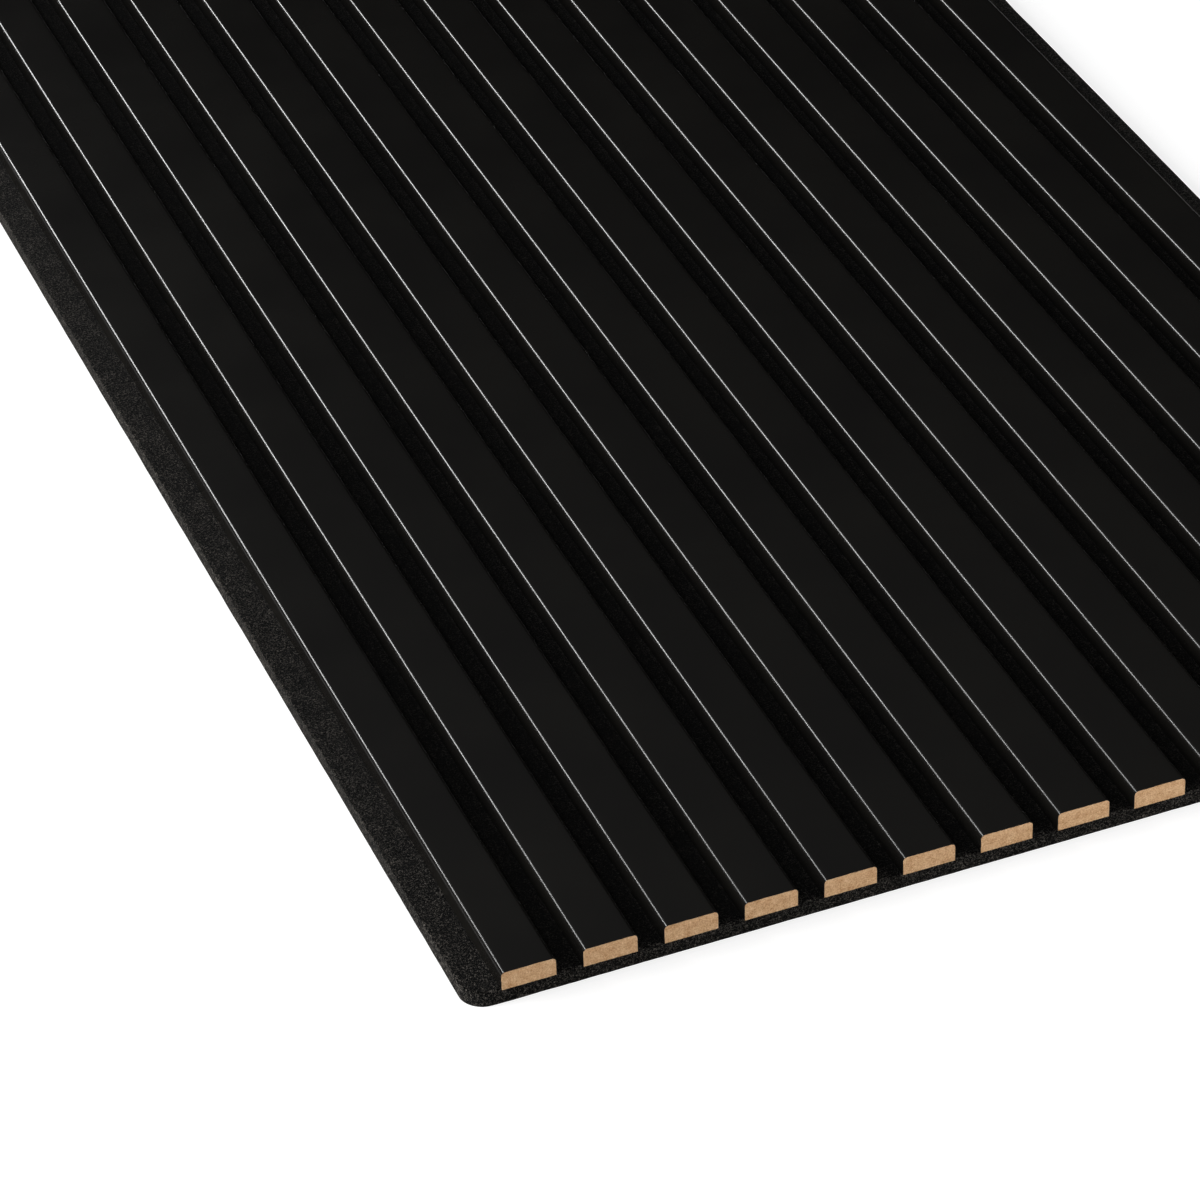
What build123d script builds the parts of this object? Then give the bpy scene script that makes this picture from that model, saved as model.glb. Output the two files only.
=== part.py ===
from build123d import *
import os

# Slatted acoustic wall panel: foil-wrapped fibreboard slats fixed on a stiff felt board.
# It lies on its felt back with the slats up and their length along Y.
# The origin is at the middle of the underside. All sizes are in millimetres.

# Slats
slat_count = 15
slat_pitch = 40.0           # centre to centre, across the panel
slat_width = 27.0           # over the foil
slat_height = 10.2          # from the felt to the top of the foil
slat_length = 2400.0
slat_edge_radius = 2.2      # long top edges, over the foil
foil_thickness = 0.2

# Felt board
felt_thickness = 9.0
felt_margin = 16.0          # felt that shows beyond the outer slats
felt_setback = 1.7          # slat ends stand this far past the felt
felt_corner_radius = 12.0

# Wire staples, driven through the felt from behind into each slat
staple_rows = 4
staple_end_distance = 90.0  # from a slat's end to its first staple
staple_crown = 12.8         # overall width
staple_recess = 0.4         # crown below the back of the felt
staple_bite = 5.0           # legs' reach into the slat
wire_thickness = 0.7
wire_width = 1.2
staple_clearance = 0.1      # around the wire, and past the tips of its legs

# Sizes that follow from those above
core_width = slat_width - 2 * foil_thickness
core_height = slat_height - foil_thickness
core_edge_radius = slat_edge_radius - foil_thickness
slat_field_width = (slat_count - 1) * slat_pitch + slat_width
felt_width = slat_field_width + 2 * felt_margin
felt_length = slat_length - 2 * felt_setback
staple_height = felt_thickness - staple_recess + staple_bite
staple_row_pitch = (slat_length - 2 * staple_end_distance) / (staple_rows - 1)

slat_places = [(i - (slat_count - 1) / 2) * slat_pitch for i in range(slat_count)]
staple_row_places = [staple_end_distance - slat_length / 2 + j * staple_row_pitch for j in range(staple_rows)]


def slat_section(width, height, edge_radius):
    """Cross-section of a slat on the felt: a flat foot, upright sides and two rounded top edges."""
    block = Rectangle(width, height, align=(Align.CENTER, Align.MIN))
    top_corners = block.vertices().sort_by(Axis.Y)[-2:]
    return Plane.XZ * Pos(0, felt_thickness) * fillet(top_corners, edge_radius)


core_section = slat_section(core_width, core_height, core_edge_radius)
slat_outline = slat_section(slat_width, slat_height, slat_edge_radius)


def staple():
    """A U of flat wire with its crown below and its legs pointing up into the slat."""
    outline = Rectangle(staple_crown, staple_height, align=(Align.CENTER, Align.MIN))
    inside = Rectangle(staple_crown - 2 * wire_thickness, staple_height, align=(Align.CENTER, Align.MIN))
    bent_wire = outline - Pos(0, wire_thickness) * inside
    return extrude(Plane.XZ * Pos(0, staple_recess) * bent_wire, wire_width / 2, both=True)


def staple_room():
    """The space that a staple takes: a pocket for its crown and a slot for each leg."""
    wire_room = wire_width + 2 * staple_clearance
    leg_room = wire_thickness + 2 * staple_clearance
    on_back = (Align.CENTER, Align.CENTER, Align.MIN)
    pocket = Box(staple_crown + 2 * staple_clearance, wire_room, staple_recess + wire_thickness, align=on_back)
    slot = Box(leg_room, wire_room, staple_recess + staple_height + staple_clearance, align=on_back)
    leg_offset = (staple_crown - wire_thickness) / 2
    return pocket + Pos(-leg_offset, 0, 0) * slot + Pos(leg_offset, 0, 0) * slot


def slat_core(x):
    """Fibreboard slat with blind slots in its foot for the staple legs."""
    bar = Pos(x, 0, 0) * extrude(core_section, slat_length / 2, both=True)
    return bar - [Pos(x, y, 0) * staple_room() for y in staple_row_places]


def slat_foil(x):
    """Foil over the top and the two sides of a slat, open at the foot and the ends."""
    return Pos(x, 0, 0) * extrude(slat_outline - core_section, slat_length / 2, both=True)


def felt_backing():
    """Felt board with rounded corners, pierced where each staple passes."""
    board = extrude(RectangleRounded(felt_width, felt_length, felt_corner_radius), felt_thickness)
    return board - [Pos(x, y, 0) * staple_room() for x in slat_places for y in staple_row_places]


def back_staples():
    """All the staples as one group of separate solids."""
    return Compound([Pos(x, y, 0) * staple() for x in slat_places for y in staple_row_places])


os.makedirs("parts", exist_ok=True)
export_step(felt_backing(), "parts/felt_backing.step")
export_step(back_staples(), "parts/back_staples.step")
for number, x in enumerate(slat_places, start=1):
    export_step(slat_core(x), f"parts/slat_core_{number:02d}.step")
    export_step(slat_foil(x), f"parts/slat_foil_{number:02d}.step")
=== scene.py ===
import math

import bpy
import numpy as np
from mathutils import Matrix, Quaternion, Vector


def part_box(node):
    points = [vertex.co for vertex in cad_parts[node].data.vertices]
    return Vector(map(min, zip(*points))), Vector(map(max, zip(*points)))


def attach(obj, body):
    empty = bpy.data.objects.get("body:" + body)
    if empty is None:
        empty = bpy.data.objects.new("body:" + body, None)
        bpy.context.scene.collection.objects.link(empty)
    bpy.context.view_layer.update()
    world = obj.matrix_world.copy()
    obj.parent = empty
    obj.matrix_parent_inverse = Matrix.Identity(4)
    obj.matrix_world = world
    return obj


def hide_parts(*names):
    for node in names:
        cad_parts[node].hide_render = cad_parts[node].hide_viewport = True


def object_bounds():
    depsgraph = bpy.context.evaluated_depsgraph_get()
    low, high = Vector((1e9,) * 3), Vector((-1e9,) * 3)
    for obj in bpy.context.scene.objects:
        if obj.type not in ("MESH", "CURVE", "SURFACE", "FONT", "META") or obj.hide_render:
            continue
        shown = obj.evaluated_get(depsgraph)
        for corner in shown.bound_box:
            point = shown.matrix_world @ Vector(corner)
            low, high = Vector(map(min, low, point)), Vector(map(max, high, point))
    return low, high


# A slatted acoustic panel lying on its felt back: black foil-wrapped fibreboard slats with bare cut ends,
# on a black felt board, with wire staples behind. Every length below is in metres.

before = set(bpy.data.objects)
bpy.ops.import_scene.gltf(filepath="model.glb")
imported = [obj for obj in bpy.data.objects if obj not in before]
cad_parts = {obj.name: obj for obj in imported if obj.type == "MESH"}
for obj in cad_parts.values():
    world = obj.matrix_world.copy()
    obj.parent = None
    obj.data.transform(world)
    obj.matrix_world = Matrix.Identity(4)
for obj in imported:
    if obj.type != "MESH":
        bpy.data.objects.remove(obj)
cad_low, cad_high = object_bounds()

MM = 0.001

# Places and sizes read from the frame
slat_numbers = sorted(name[-2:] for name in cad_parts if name.startswith("slat_core_"))
felt_low, felt_high = (np.array(corner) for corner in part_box("felt_backing"))
foil_boxes = {n: [np.array(corner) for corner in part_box(f"slat_foil_{n}")] for n in slat_numbers}
core_boxes = {n: [np.array(corner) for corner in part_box(f"slat_core_{n}")] for n in slat_numbers}
slat_middles = np.array([(low[0] + high[0]) / 2 for low, high in foil_boxes.values()])
slat_half_width = (foil_boxes["01"][1][0] - foil_boxes["01"][0][0]) / 2
core_half_width = (core_boxes["01"][1][0] - core_boxes["01"][0][0]) / 2
foil_thickness = slat_half_width - core_half_width
slat_pitch = slat_middles[1] - slat_middles[0]

# Sizes that the frame's boxes don't give
EDGE_RADIUS = 2.2 * MM          # long top edges of a slat, over the foil
FELT_CORNER_RADIUS = 12.0 * MM
FELT_SOFT_EDGE = 0.7 * MM       # rounding that cutting leaves on the felt's upper rim
FELT_CRISP_EDGE = 0.25 * MM     # and on its lower rim
STAPLE_CROWN = 12.8 * MM
STAPLE_RECESS = 0.4 * MM
STAPLE_BEND = 1.0 * MM
WIRE_THICKNESS = 0.7 * MM
WIRE_WIDTH = 1.2 * MM
WIRE_CLIP = 0.15 * MM           # clipped corners of the flat wire

# Unevenness that sawing, felting and stapling leave
CHIP_DEPTH = 0.25 * MM          # deepest chip in the foil's sawn ends
PIT_DEPTH = 0.18 * MM           # deepest pit in the fibreboard's sawn ends
CORE_SEED = 100                 # keeps the pits' random draws apart from the chips'
WAVE_LENGTH = 9.0 * MM          # slow waves of the felt's face
WAVE_DEPTH = 0.12 * MM
RIPPLE_LENGTH = 4.0 * MM        # quicker ripples on them
RIPPLE_DEPTH = 0.06 * MM
TUFT_LENGTH = 2.5 * MM          # tufts on the felt's rim
TUFT_HEIGHT = 0.12 * MM
HOLLOW_MARGIN = 0.2 * MM        # level floor of a staple's hollow, past the wire
HOLLOW_HALF_LENGTH = STAPLE_CROWN / 2 + HOLLOW_MARGIN
HOLLOW_HALF_WIDTH = WIRE_WIDTH / 2 + HOLLOW_MARGIN
HOLLOW_FADE = 1.1 * MM          # distance at which a hollow has lost half its depth
HOLLOW_LEAST = 0.02 * MM        # the back is level where a hollow would be shallower


def smooth_noise(a, b, spacing, seed):
    """Random heights from -1 to 1 on a square lattice of that spacing, joined by smoothstep curves."""
    cells = 64
    heights = np.random.default_rng(seed).uniform(-1, 1, (cells, cells))
    a_cell, b_cell = np.floor(a / spacing), np.floor(b / spacing)
    s, t = a / spacing - a_cell, b / spacing - b_cell
    s, t = s * s * (3 - 2 * s), t * t * (3 - 2 * t)
    i, j = a_cell.astype(int) % cells, b_cell.astype(int) % cells
    i_next, j_next = (i + 1) % cells, (j + 1) % cells
    low_side = heights[i, j] * (1 - s) + heights[i_next, j] * s
    high_side = heights[i, j_next] * (1 - s) + heights[i_next, j_next] * s
    return low_side * (1 - t) + high_side * t


def grid_quads(numbers):
    """Quads between the points of a grid, given the points' numbers row by row."""
    corners = [numbers[:-1, :-1], numbers[:-1, 1:], numbers[1:, 1:], numbers[1:, :-1]]
    return np.stack(corners, -1).reshape(-1, 4)


def grid_rim(numbers):
    """Numbers of a grid's outer points: along the first row, up the last column, back along the last row
    and down the first column."""
    return np.concatenate([numbers[0, :-1], numbers[:-1, -1], numbers[-1, :0:-1], numbers[:0:-1, 0]])


def band_quads(loops):
    """Quads between closed loops of points: each row of numbers is a loop, joined to the row after it."""
    here, there = loops[:-1], loops[1:]
    return np.stack([here, there, np.roll(there, -1, 1), np.roll(here, -1, 1)], -1).reshape(-1, 4)


def outward(points, quads):
    """The quads, turned round if the volume that they enclose comes out negative."""
    a, b, c, d = (points[quads[:, k]] for k in range(4))
    volume = np.einsum("ij,ij->", a, np.cross(b, c)) + np.einsum("ij,ij->", a, np.cross(c, d))
    return quads if volume > 0 else quads[:, ::-1]


def add_piece(name, points, quads, material, nodes, crease_deg=40):
    """Makes a mesh piece at the origin that stands for CAD nodes and rides on the panel."""
    mesh = bpy.data.meshes.new(name)
    mesh.from_pydata(points.tolist(), [], outward(points, quads).tolist())
    mesh.polygons.foreach_set("use_smooth", np.ones(len(quads), bool))
    mesh.set_sharp_from_angle(angle=math.radians(crease_deg))
    mesh.materials.append(material)
    piece = bpy.data.objects.new(name, mesh)
    bpy.context.scene.collection.objects.link(piece)
    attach(piece, "root")
    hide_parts(*nodes)


def linear(hex_colour):
    """Linear red, green, blue and alpha of an sRGB hex colour."""
    channels = np.array([int(hex_colour[k:k + 2], 16) for k in (1, 3, 5)]) / 255
    lit = np.where(channels <= 0.04045, channels / 12.92, ((channels + 0.055) / 1.055) ** 2.4)
    return (*lit.tolist(), 1.0)


def per_length(length):
    """Scale of a noise pattern whose grains are about that long."""
    return 1 / length


def add_node(tree, kind, links=None, stops=(), **settings):
    """Adds a node, sets its properties, and feeds its sockets with values or with other nodes' outputs.
    A colour ramp's stops are each a place from 0 to 1 and a hex colour."""
    node = tree.nodes.new(kind)
    for name, value in settings.items():
        setattr(node, name, value)
    for socket, source in (links or {}).items():
        if isinstance(source, bpy.types.NodeSocket):
            tree.links.new(source, node.inputs[socket])
        else:
            node.inputs[socket].default_value = source
    for number, (place, colour) in enumerate(stops):
        elements = node.color_ramp.elements
        element = elements[number] if number < len(elements) else elements.new(place)
        element.position = place
        element.color = linear(colour)
    return node


def new_tree(name):
    """An empty material of that name, its node tree and its output node."""
    material = bpy.data.materials.new(name)
    material.use_nodes = True
    material.node_tree.nodes.clear()
    return material, material.node_tree, add_node(material.node_tree, "ShaderNodeOutputMaterial")


def satin_foil():
    """Melamine foil pressed round the slat: dead black and satin, with a faint uneven sheen and a soft orange
    peel."""
    material, tree, output = new_tree("black satin melamine foil")
    place = add_node(tree, "ShaderNodeTexCoord").outputs["Object"]
    cloudy = add_node(tree, "ShaderNodeTexNoise", {
        "Vector": place, "Scale": per_length(70 * MM), "Detail": 3.0}).outputs[0]
    peel = add_node(tree, "ShaderNodeTexNoise", {
        "Vector": place, "Scale": per_length(3 * MM), "Detail": 2.0}).outputs[0]
    gloss = add_node(tree, "ShaderNodeMapRange", {"Value": cloudy, "To Min": 0.23, "To Max": 0.31})
    relief = add_node(tree, "ShaderNodeBump", {"Height": peel, "Strength": 0.15, "Distance": 0.02 * MM})
    tone = add_node(tree, "ShaderNodeValToRGB", {0: cloudy}, stops=[(0.3, "#0c0b0a"), (0.7, "#0f0e0c")])
    shader = add_node(tree, "ShaderNodeBsdfPrincipled", {
        "Base Color": tone.outputs[0], "Roughness": gloss.outputs[0], "Normal": relief.outputs[0],
        "IOR": 1.6})
    tree.links.new(shader.outputs[0], output.inputs["Surface"])
    return material


def needle_felt():
    """Needle-punched polyester felt: matted black fibres, some paler, with a fuzz that lights up at a
    glancing angle. Single fibres are too fine to show, so the grain is drawn 0.8 mm long."""
    material, tree, output = new_tree("black needle-punched felt")
    place = add_node(tree, "ShaderNodeTexCoord").outputs["Object"]
    fibres = add_node(tree, "ShaderNodeTexNoise", {
        "Vector": place, "Scale": per_length(0.8 * MM), "Detail": 3.0, "Roughness": 0.6,
        "Distortion": 1.2}).outputs[0]
    tufts = add_node(tree, "ShaderNodeTexNoise", {
        "Vector": place, "Scale": per_length(6 * MM), "Detail": 3.0}).outputs[0]
    matted = add_node(tree, "ShaderNodeMix", {
        "Factor": 0.1, "A": fibres, "B": tufts}, data_type="FLOAT").outputs[0]
    tone = add_node(tree, "ShaderNodeValToRGB", {0: matted}, stops=[
        (0.46, "#020202"), (0.54, "#0b0a09"), (0.61, "#5a5651")])
    relief = add_node(tree, "ShaderNodeBump", {"Height": fibres, "Strength": 1.0, "Distance": 0.7 * MM})
    shader = add_node(tree, "ShaderNodeBsdfPrincipled", {
        "Base Color": tone.outputs[0], "Roughness": 0.95, "Specular IOR Level": 0.08,
        "Normal": relief.outputs[0], "Sheen Weight": 0.03, "Sheen Roughness": 0.45})
    tree.links.new(shader.outputs[0], output.inputs["Surface"])
    return material


def raw_fibreboard():
    """Sawn medium-density fibreboard: matted tan wood fibres, a fine dark and pale fleck, no gloss.
    Single fibres are too fine to show, so the flecks are drawn 0.8 mm long."""
    material, tree, output = new_tree("raw sawn fibreboard")
    place = add_node(tree, "ShaderNodeTexCoord").outputs["Object"]
    flecks = add_node(tree, "ShaderNodeTexNoise", {
        "Vector": place, "Scale": per_length(0.8 * MM), "Detail": 4.0, "Roughness": 0.6,
        "Distortion": 0.6}).outputs[0]
    clumps = add_node(tree, "ShaderNodeTexNoise", {
        "Vector": place, "Scale": per_length(4 * MM), "Detail": 2.0}).outputs[0]
    matted = add_node(tree, "ShaderNodeMix", {
        "Factor": 0.3, "A": flecks, "B": clumps}, data_type="FLOAT").outputs[0]
    tone = add_node(tree, "ShaderNodeValToRGB", {0: matted}, stops=[
        (0.32, "#a6774a"), (0.5, "#d0a77e"), (0.68, "#ebcaa1")])
    relief = add_node(tree, "ShaderNodeBump", {"Height": flecks, "Strength": 0.5, "Distance": 0.2 * MM})
    shader = add_node(tree, "ShaderNodeBsdfPrincipled", {
        "Base Color": tone.outputs[0], "Roughness": 0.9, "Specular IOR Level": 0.2,
        "Normal": relief.outputs[0]})
    tree.links.new(shader.outputs[0], output.inputs["Surface"])
    return material


def galvanised_wire():
    """Flat zinc-coated steel wire: bright grey metal with a dull, slightly mottled coat."""
    material, tree, output = new_tree("galvanised steel wire")
    place = add_node(tree, "ShaderNodeTexCoord").outputs["Object"]
    mottle = add_node(tree, "ShaderNodeTexNoise", {
        "Vector": place, "Scale": per_length(1.5 * MM), "Detail": 3.0}).outputs[0]
    tone = add_node(tree, "ShaderNodeValToRGB", {0: mottle}, stops=[(0.3, "#b4b7ba"), (0.7, "#d2d4d6")])
    dullness = add_node(tree, "ShaderNodeMapRange", {"Value": mottle, "To Min": 0.28, "To Max": 0.45})
    shader = add_node(tree, "ShaderNodeBsdfPrincipled", {
        "Base Color": tone.outputs[0], "Roughness": dullness.outputs[0], "Metallic": 1.0})
    tree.links.new(shader.outputs[0], output.inputs["Surface"])
    return material


def slat_outline(half_width, foot, top, radius):
    """Section of a slat as x, z pairs: up the left side, a quarter turn, across the top, a quarter turn and
    down the right side."""
    turn = np.linspace(0, math.pi / 2, num=15)
    side = np.linspace(foot, top - radius, num=5)[:-1]
    left_x = np.concatenate([np.full(len(side), -half_width), -half_width + radius * (1 - np.cos(turn))])
    left_z = np.concatenate([side, top - radius + radius * np.sin(turn)])
    across = np.linspace(left_x[-1], -left_x[-1], num=9)[1:-1]
    x = np.concatenate([left_x, across, -left_x[::-1]])
    z = np.concatenate([left_z, np.full(len(across), top), left_z[::-1]])
    return np.stack([x, z], -1)


def foil_wrap(number, material):
    """Foil shell: the slat's outline and the same line one foil thickness inside it, carried along the slat.
    The sawn ends are a little chipped: each end point is pulled in by the fourth power of a random height."""
    low, high = foil_boxes[number]
    outer = slat_outline(slat_half_width, low[2], high[2], EDGE_RADIUS)
    inner = slat_outline(core_half_width, low[2], high[2] - foil_thickness, EDGE_RADIUS - foil_thickness)
    ring = np.concatenate([outer, inner[::-1]])
    along = np.linspace(low[1], high[1], num=41)
    count = len(outer)
    x = (low[0] + high[0]) / 2 + np.broadcast_to(ring[:, 0], (len(along), 2 * count))
    z = np.broadcast_to(ring[:, 1], x.shape)
    y = np.repeat(along[:, None], 2 * count, 1)
    points = np.stack([x, y, z], -1)
    chips = np.random.default_rng(int(number)).uniform(0, 1, (2, count)) ** 4 * CHIP_DEPTH
    points[0, :, 1] += np.concatenate([chips[0], chips[0][::-1]])
    points[-1, :, 1] -= np.concatenate([chips[1], chips[1][::-1]])
    numbers = np.arange(x.size).reshape(x.shape)
    shell = band_quads(numbers)
    front = grid_quads(np.stack([numbers[0, :count], numbers[0, :count - 1:-1]])[::-1])
    back = grid_quads(np.stack([numbers[-1, :count], numbers[-1, :count - 1:-1]]))
    quads = np.concatenate([shell, front, back])
    name = f"foil_wrap_{number}"
    add_piece(name, points.reshape(-1, 3), quads, material, [f"slat_foil_{number}"])


def fibreboard_bar(number, material):
    """Slat core: a grid over each sawn end, narrowed row by row round the top edges, and walls between their
    rims. The ends are pitted: each point is pulled in by the cube of a random height."""
    low, high = core_boxes[number]
    radius = EDGE_RADIUS - foil_thickness
    turn = np.linspace(0, math.pi / 2, num=7)
    upright = np.linspace(low[2], high[2] - radius, num=13)[:-1]
    heights = np.concatenate([upright, high[2] - radius + radius * np.sin(turn)])
    rounding = np.concatenate([np.zeros(len(upright)), radius * (1 - np.cos(turn))])
    share = np.linspace(-1, 1, num=53)
    x = (low[0] + high[0]) / 2 + (core_half_width - rounding)[:, None] * share[None, :]
    z = np.repeat(heights[:, None], len(share), 1)
    pits = np.random.default_rng(CORE_SEED + int(number)).uniform(0, 1, (2, *x.shape)) ** 3 * PIT_DEPTH
    ends = [np.stack([x, low[1] + pits[0], z], -1), np.stack([x, high[1] - pits[1], z], -1)]
    points = np.concatenate([end.reshape(-1, 3) for end in ends])
    front = np.arange(x.size).reshape(x.shape)
    back = front + x.size
    walls = band_quads(np.stack([grid_rim(front), grid_rim(back)]))
    quads = np.concatenate([grid_quads(front), grid_quads(back)[:, ::-1], walls])
    name = f"fibreboard_bar_{number}"
    add_piece(name, points, quads, material, [f"slat_core_{number}"])


def staple_rows():
    """Places of the staple rows along the slats, read from the frame's staples."""
    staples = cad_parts["back_staples"].data
    flat = np.zeros(len(staples.vertices) * 3)
    staples.vertices.foreach_get("co", flat)
    sides = np.unique(np.round(flat[1::3], decimals=5))
    return (sides[0::2] + sides[1::2]) / 2


def felt_columns():
    """Lines along the board: past each staple crown's ends, at each slat's feet and across each gap."""
    slope_foot = HOLLOW_HALF_LENGTH + 1.2 * MM
    left_half = np.array([-slat_half_width, -slope_foot, -HOLLOW_HALF_LENGTH, 0.0])
    under_slat = np.concatenate([left_half, -left_half[-2::-1]])
    gap = slat_pitch - 2 * slat_half_width
    in_gap = slat_half_width + gap * np.array([0.25, 0.5, 0.75])
    columns = (slat_middles[:, None] + np.concatenate([under_slat, in_gap])[None, :]).ravel()
    return columns[:-len(in_gap)]


def felt_rows(rows_of_staples, low, high, corner):
    """Lines across the board: even steps, finer round the corners and beside each row of staples."""
    even = np.linspace(low + 2 * corner, high - 2 * corner, num=215)
    one_side = np.array([HOLLOW_HALF_WIDTH, 2.0 * MM, 4.0 * MM])
    fine_reach = 5.0 * MM
    beside = np.concatenate([-one_side[::-1], one_side])
    fine = (rows_of_staples[:, None] + beside[None, :]).ravel()
    clear = np.abs(even[:, None] - rows_of_staples[None, :]).min(1) > fine_reach
    turn = 1 - np.cos(np.linspace(0, math.pi / 2, num=9))
    ends = np.concatenate([low + corner * turn, high - corner * turn])
    return np.sort(np.concatenate([even[clear], fine, ends]))


def felt_grid(rows_of_staples):
    """Grid over the board, cut to a rounded rectangle: each row reaches as far as the corners' circles
    let it."""
    low, high = felt_low + FELT_SOFT_EDGE, felt_high - FELT_SOFT_EDGE
    corner = FELT_CORNER_RADIUS - FELT_SOFT_EDGE
    columns = felt_columns()
    rows = felt_rows(rows_of_staples, low[1], high[1], corner)
    from_end = np.minimum(rows - low[1], high[1] - rows)
    past = np.clip(corner - from_end, 0, corner)
    half_width = high[0] - corner + np.sqrt(np.maximum(corner ** 2 - past ** 2, 0))
    margin = np.linspace(0, 1, num=7)[1:]
    right = columns[-1] + (half_width[:, None] - columns[-1]) * margin[None, :]
    x = np.concatenate([-right[:, ::-1], np.repeat(columns[None, :], len(rows), 0), right], 1)
    y = np.repeat(rows[:, None], x.shape[1], 1)
    return x, y


def felt_hollows(x, y, rows_of_staples):
    """Depth of the hollows that the staples' crowns have pressed into the back: a full depth round each
    crown, divided outside by one plus the square of the distance over the fade."""
    beyond = np.maximum(np.abs(x[..., None] - slat_middles).min(-1) - HOLLOW_HALF_LENGTH, 0)
    beside = np.maximum(np.abs(y[..., None] - rows_of_staples).min(-1) - HOLLOW_HALF_WIDTH, 0)
    depth = (STAPLE_RECESS + WIRE_THICKNESS) / (1 + (np.hypot(beyond, beside) / HOLLOW_FADE) ** 2)
    return np.where(depth > HOLLOW_LEAST, depth, 0)


def felt_rim(outline):
    """Rim of the board: a quarter turn down from the face's outline, a straight side and a tight quarter turn
    in, carried round the outline and made tufty by smooth random heights."""
    run = np.roll(outline, -1, 0) - np.roll(outline, 1, 0)
    outwards = np.stack([run[:, 1], -run[:, 0], np.zeros(len(run))], -1)
    outwards /= np.linalg.norm(outwards, axis=1, keepdims=True)
    turn = np.linspace(0, math.pi / 2, num=5)[1:]
    thickness = felt_high[2] - felt_low[2]
    roll_down = FELT_SOFT_EDGE * (1 - np.cos(turn))
    straight = np.linspace(FELT_SOFT_EDGE, thickness - FELT_CRISP_EDGE, num=6)[1:]
    roll_in = thickness - FELT_CRISP_EDGE * (1 - np.sin(turn))
    drop = np.concatenate([roll_down, straight, roll_in])
    under = FELT_SOFT_EDGE - FELT_CRISP_EDGE * (1 - np.cos(turn))
    reach = np.concatenate([FELT_SOFT_EDGE * np.sin(turn), np.full(len(straight), FELT_SOFT_EDGE), under])
    length_round = np.concatenate([[0], np.cumsum(np.linalg.norm(np.diff(outline, axis=0), axis=1))])
    tufts = smooth_noise(length_round[None, :], drop[:, None], TUFT_LENGTH, seed=3) * TUFT_HEIGHT
    rim = outline[None] + outwards[None] * (reach[:, None] + tufts)[..., None]
    rim[..., 2] = np.maximum(outline[None, :, 2] - drop[:, None], felt_low[2])
    return rim


def felt_board(material):
    """Felt board: a grid as its face, the same grid as its back and a rim between the two. The face lies
    slightly uneven, by smooth random heights, and the back has the staples' hollows."""
    rows_of_staples = staple_rows()
    x, y = felt_grid(rows_of_staples)
    waves = WAVE_DEPTH * (smooth_noise(x, y, WAVE_LENGTH, seed=1) - 1)
    ripples = RIPPLE_DEPTH * (smooth_noise(x, y, RIPPLE_LENGTH, seed=2) - 1)
    hollows = felt_hollows(x, y, rows_of_staples)
    face = np.stack([x, y, felt_high[2] + (waves + ripples)], -1).reshape(-1, 3)
    back = np.stack([x, y, felt_low[2] + hollows], -1).reshape(-1, 3)
    face_numbers = np.arange(x.size).reshape(x.shape)
    back_numbers = face_numbers + x.size
    rim = felt_rim(face[grid_rim(face_numbers)])
    rim_numbers = 2 * x.size + np.arange(rim.shape[0] * rim.shape[1]).reshape(rim.shape[:2])
    loops = np.concatenate([grid_rim(face_numbers)[None], rim_numbers, grid_rim(back_numbers)[None]])
    quads = np.concatenate([grid_quads(face_numbers), grid_quads(back_numbers)[:, ::-1], band_quads(loops)])
    points = np.concatenate([face, back, rim.reshape(-1, 3)])
    add_piece("felt_board", points, quads, material, ["felt_backing"], crease_deg=75)


def staple_wires(material):
    """Staples: a flat wire's section with clipped corners, carried down one leg, round a bend, along the
    crown, round the other bend and up the other leg. The whole is repeated behind every slat in every row."""
    half_crown = STAPLE_CROWN / 2 - WIRE_THICKNESS / 2
    crown_z = STAPLE_RECESS + WIRE_THICKNESS / 2
    tip_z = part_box("back_staples")[1][2]
    turn = np.linspace(0, math.pi / 2, num=5)
    bend_x = half_crown - STAPLE_BEND + STAPLE_BEND * np.cos(turn)
    bend_z = crown_z + STAPLE_BEND - STAPLE_BEND * np.sin(turn)
    path_x = np.concatenate([[half_crown], bend_x, -bend_x[::-1], [-half_crown]])
    path_z = np.concatenate([[tip_z], bend_z, bend_z[::-1], [tip_z]])
    out_x = np.concatenate([[1], np.cos(turn), -np.cos(turn)[::-1], [-1]])
    out_z = -np.concatenate([[0], np.sin(turn), np.sin(turn)[::-1], [0]])
    thick, wide = WIRE_THICKNESS / 2, WIRE_WIDTH / 2
    thick_in, wide_in = thick - WIRE_CLIP, wide - WIRE_CLIP
    section_out = np.array([thick, thick, thick_in, -thick_in, -thick, -thick, -thick_in, thick_in])
    section_y = np.array([-wide_in, wide_in, wide, wide, wide_in, -wide_in, -wide, -wide])
    x = path_x[:, None] + out_x[:, None] * section_out[None, :]
    z = path_z[:, None] + out_z[:, None] * section_out[None, :]
    y = np.broadcast_to(section_y, x.shape)
    one = np.stack([x, y, z], -1).reshape(-1, 3)
    numbers = np.arange(x.size).reshape(x.shape)
    end = np.array([[0, 1, 2, 7], [2, 3, 6, 7], [3, 4, 5, 6]])
    one_quads = np.concatenate([band_quads(numbers), numbers[0][end][:, ::-1], numbers[-1][end]])
    places = np.array([[x0, y0, 0] for x0 in slat_middles for y0 in staple_rows()])
    points = (places[:, None, :] + one[None, :, :]).reshape(-1, 3)
    quads = (np.arange(len(places))[:, None, None] * len(one) + one_quads[None]).reshape(-1, 4)
    add_piece("staple_wires", points, quads, material, ["back_staples"])


foil = satin_foil()
fibreboard = raw_fibreboard()
for slat in slat_numbers:
    foil_wrap(slat, foil)
    fibreboard_bar(slat, fibreboard)
felt_board(needle_felt())
staple_wires(galvanised_wire())


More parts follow.
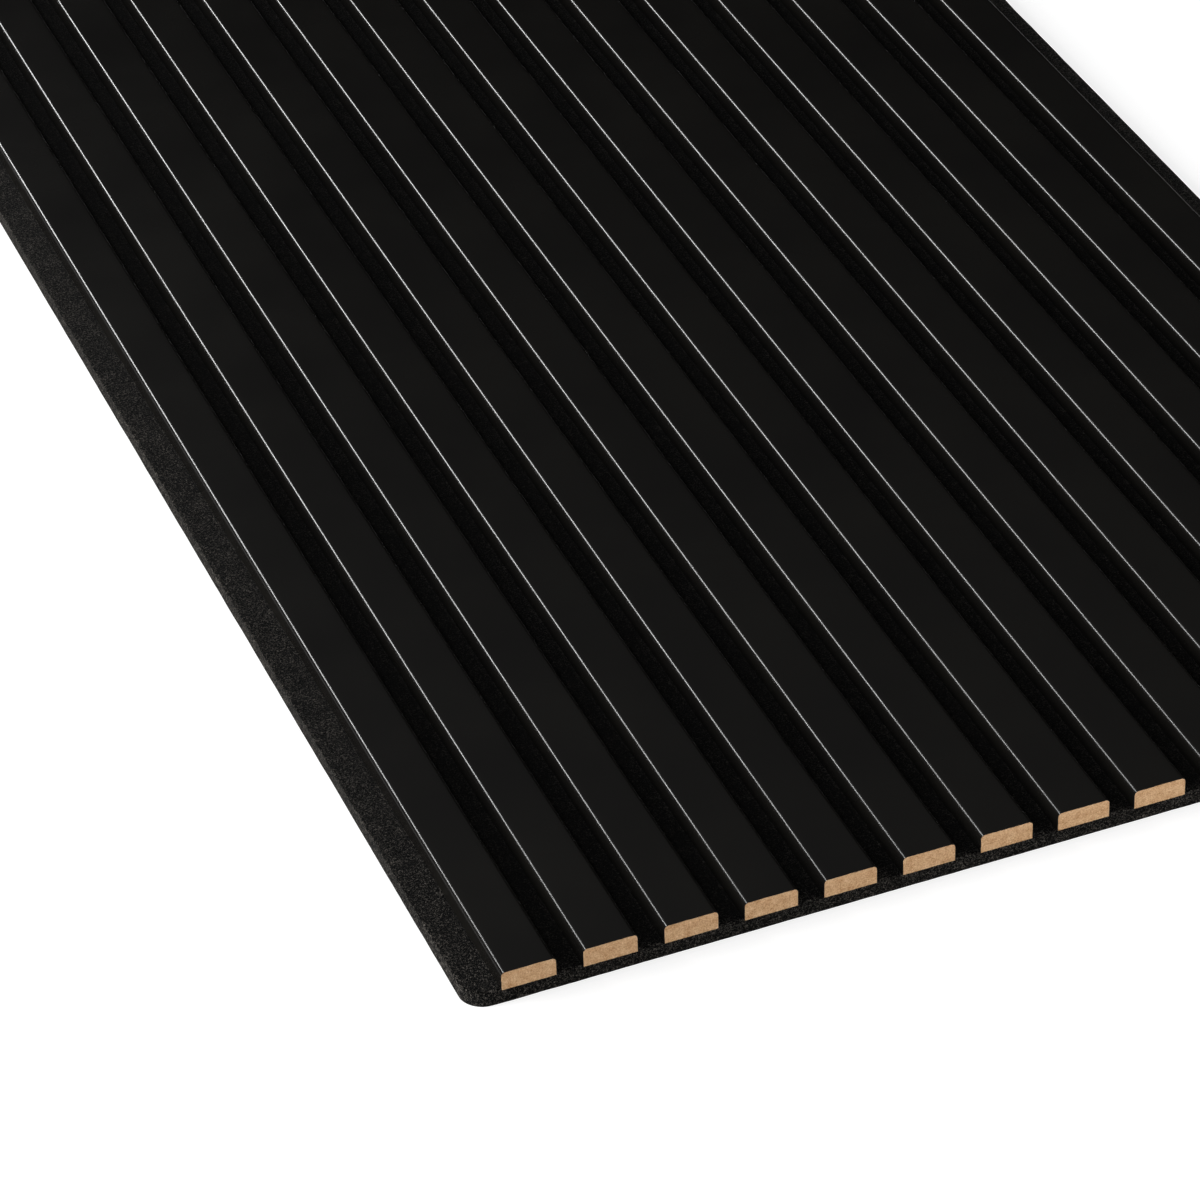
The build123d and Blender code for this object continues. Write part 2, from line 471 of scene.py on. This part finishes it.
# Camera, at the photograph's place and angle
CAMERA_PLACE = Vector((-0.85289, -2.79874, 1.47052))
CAMERA_AZIMUTH = math.radians(-20.998)
CAMERA_ELEVATION = math.radians(36.313)
CAMERA_ROLL = math.radians(-1.986)
CAMERA_LENS_MM = 147.80
CAMERA_SENSOR_MM = 36.0
CAMERA_SIGHT = 200.0            # how far it sees


def photo_camera():
    """Camera looking back along its azimuth and elevation, turned by its roll."""
    level_back = Vector((math.sin(CAMERA_AZIMUTH), -math.cos(CAMERA_AZIMUTH), 0))
    level_right = Vector((math.cos(CAMERA_AZIMUTH), math.sin(CAMERA_AZIMUTH), 0))
    back = level_back * math.cos(CAMERA_ELEVATION) + Vector((0, 0, math.sin(CAMERA_ELEVATION)))
    right = level_right * math.cos(CAMERA_ROLL) + back.cross(level_right) * math.sin(CAMERA_ROLL)
    up = back.cross(right)
    data = bpy.data.cameras.new("photo_camera")
    data.lens = CAMERA_LENS_MM
    data.sensor_width = CAMERA_SENSOR_MM
    data.clip_end = CAMERA_SIGHT
    camera = bpy.data.objects.new("photo_camera", data)
    turned = Matrix((right, up, back)).transposed().to_4x4()
    camera.matrix_world = Matrix.Translation(CAMERA_PLACE) @ turned
    bpy.context.scene.collection.objects.link(camera)
    bpy.context.scene.camera = camera


# Light: a broad soft light low on the left, a strip behind that draws the slats' edges, a fill in front and
# another from below, in a dim studio over a white floor
AIM = Vector((0, -0.85, 0.02))
FLOOR_REACH = 200               # outline of the floor, in sizes of its window
FLOOR_DROP = 0.3 * MM           # keeps the floor clear of the felt's back
FLOOR_WINDOW_INSET = 3.0 * MM   # the floor is open under the panel, so that its back shows from below


def hang_lamp(data, direction, distance, roll_deg=0):
    """Hangs a lamp in a direction and at a distance from the near end of the panel, looking back at it."""
    lamp = bpy.data.objects.new(data.name, data)
    towards = Vector(direction).normalized()
    roll = Quaternion((0, 0, 1), math.radians(roll_deg))
    lamp.location = AIM + towards * distance
    lamp.rotation_euler = (towards.to_track_quat("Z", "Y") @ roll).to_euler()
    lamp.visible_camera = False
    bpy.context.scene.collection.objects.link(lamp)
    return lamp


def soft_box(name, direction, distance, width, height, radiance, roll_deg=0):
    """Rectangular lamp of that radiance."""
    data = bpy.data.lights.new(name, "AREA")
    data.shape = "RECTANGLE"
    data.size = width
    data.size_y = height
    data.energy = radiance * math.pi * width * height
    return hang_lamp(data, direction, distance, roll_deg)


def window_light(name, direction, level, spread_deg):
    """Broad far light: white paper facing it would show that level, where 1 is white."""
    data = bpy.data.lights.new(name, "SUN")
    data.energy = level * math.pi
    data.angle = math.radians(spread_deg)
    return hang_lamp(data, direction, distance=5.0)


def studio_world():
    """White to the eye. Reflections show a white horizon and a pale wall in front. The rest of the studio is
    dark but for a faint glow overhead, so that black foil stays black."""
    world = bpy.data.worlds.new("studio")
    bpy.context.scene.world = world
    world.use_nodes = True
    tree = world.node_tree
    tree.nodes.clear()
    rays = add_node(tree, "ShaderNodeLightPath").outputs
    direction = add_node(tree, "ShaderNodeTexCoord").outputs["Generated"]
    axes = add_node(tree, "ShaderNodeSeparateXYZ", {0: direction}).outputs
    horizon = add_node(tree, "ShaderNodeMapRange", {
        "Value": axes["Z"], "From Min": 0.0, "From Max": 0.02, "To Min": 1.0, "To Max": 0.0}).outputs[0]
    front_wall = add_node(tree, "ShaderNodeMapRange", {
        "Value": axes["Y"], "From Min": -0.9, "From Max": -0.1, "To Min": 0.4, "To Max": 0.0}).outputs[0]
    overhead = add_node(tree, "ShaderNodeMapRange", {
        "Value": axes["Z"], "From Min": 0.5, "From Max": 0.7, "To Min": 0.0, "To Max": 0.1}).outputs[0]
    pale = add_node(tree, "ShaderNodeMath", {0: horizon, 1: front_wall}, operation="MAXIMUM").outputs[0]
    shiny = add_node(tree, "ShaderNodeMath", {
        0: rays["Is Glossy Ray"], 1: rays["Is Transmission Ray"]}, operation="MAXIMUM").outputs[0]
    mirrored = add_node(tree, "ShaderNodeMath", {0: shiny, 1: pale}, operation="MULTIPLY").outputs[0]
    seen = add_node(tree, "ShaderNodeMath", {
        0: rays["Is Camera Ray"], 1: mirrored}, operation="MAXIMUM").outputs[0]
    dim = add_node(tree, "ShaderNodeBackground", {"Color": linear("#ffffff"), "Strength": overhead})
    white = add_node(tree, "ShaderNodeBackground", {"Color": linear("#ffffff"), "Strength": 1.0})
    shown = add_node(tree, "ShaderNodeMixShader", {0: seen, 1: dim.outputs[0], 2: white.outputs[0]})
    add_node(tree, "ShaderNodeOutputWorld", {"Surface": shown.outputs[0]})


def floor_paint():
    """Matte white paint. Most of what the eye sees of it is plain white, and the rest takes the shadow.
    Reflections see that rest and a little glow, a pale grey, so that the outer slat's foot stays dark."""
    material, tree, output = new_tree("matte white floor")
    rays = add_node(tree, "ShaderNodeLightPath").outputs
    shiny = add_node(tree, "ShaderNodeMath", {
        0: rays["Is Glossy Ray"], 1: rays["Is Transmission Ray"]}, operation="MAXIMUM").outputs[0]
    seen = add_node(tree, "ShaderNodeMath", {
        0: rays["Is Camera Ray"], 1: shiny}, operation="MAXIMUM").outputs[0]
    paint = add_node(tree, "ShaderNodeBsdfDiffuse", {"Color": linear("#dcdcdc")})
    shade = add_node(tree, "ShaderNodeBsdfDiffuse", {"Color": linear("#9e9e9e")})
    brightness = add_node(tree, "ShaderNodeMapRange", {
        "Value": rays["Is Camera Ray"], "To Min": 0.05, "To Max": 0.8}).outputs[0]
    glow = add_node(tree, "ShaderNodeEmission", {"Color": linear("#ffffff"), "Strength": brightness})
    backdrop = add_node(tree, "ShaderNodeAddShader", {0: shade.outputs[0], 1: glow.outputs[0]})
    mixed = add_node(tree, "ShaderNodeMixShader", {0: seen, 1: paint.outputs[0], 2: backdrop.outputs[0]})
    tree.links.new(mixed.outputs[0], output.inputs["Surface"])
    return material


def white_floor(material):
    """Floor: a flat band from a window under the panel, a rounded rectangle, to the same outline far out."""
    turn = np.linspace(0, math.pi / 2, num=9)
    quarters = np.arange(4)[:, None] * math.pi / 2
    sides = np.sign(np.stack([np.cos(quarters + math.pi / 4), np.sin(quarters + math.pi / 4)], -1))
    arcs = np.stack([np.cos(quarters + turn), np.sin(quarters + turn)], -1)
    bends = sides * (felt_high[:2] - FELT_CORNER_RADIUS)
    window = (bends + arcs * (FELT_CORNER_RADIUS - FLOOR_WINDOW_INSET)).reshape(-1, 2)
    outlines = np.concatenate([window, window * FLOOR_REACH])
    points = np.concatenate([outlines, np.full((len(outlines), 1), cad_low[2] - FLOOR_DROP)], 1)
    mesh = bpy.data.meshes.new("floor")
    mesh.from_pydata(points.tolist(), [], band_quads(np.arange(len(points)).reshape(2, -1)).tolist())
    mesh.materials.append(material)
    floor = bpy.data.objects.new("floor", mesh)
    bpy.context.scene.collection.objects.link(floor)


photo_camera()
studio_world()
white_floor(floor_paint())
left_window = window_light("left_window", direction=(-0.88, 0.20, 0.34), level=2.0, spread_deg=40)
left_window.visible_glossy = False
back_strip = soft_box(
    "back_strip", direction=(-0.38, 0.78, 0.50), distance=2.4, width=0.25, height=1.3, radiance=24.5,
    roll_deg=-41)
back_strip.visible_diffuse = False
front_fill = soft_box(
    "front_fill", direction=(0.75, -0.65, 0.14), distance=2.0, width=1.6, height=0.6, radiance=10.2)
front_fill.visible_glossy = False
soft_box("under_fill", direction=(0, 0, -1), distance=2.5, width=2.0, height=3.0, radiance=2.5)
bpy.context.scene.view_settings.view_transform = "Standard"
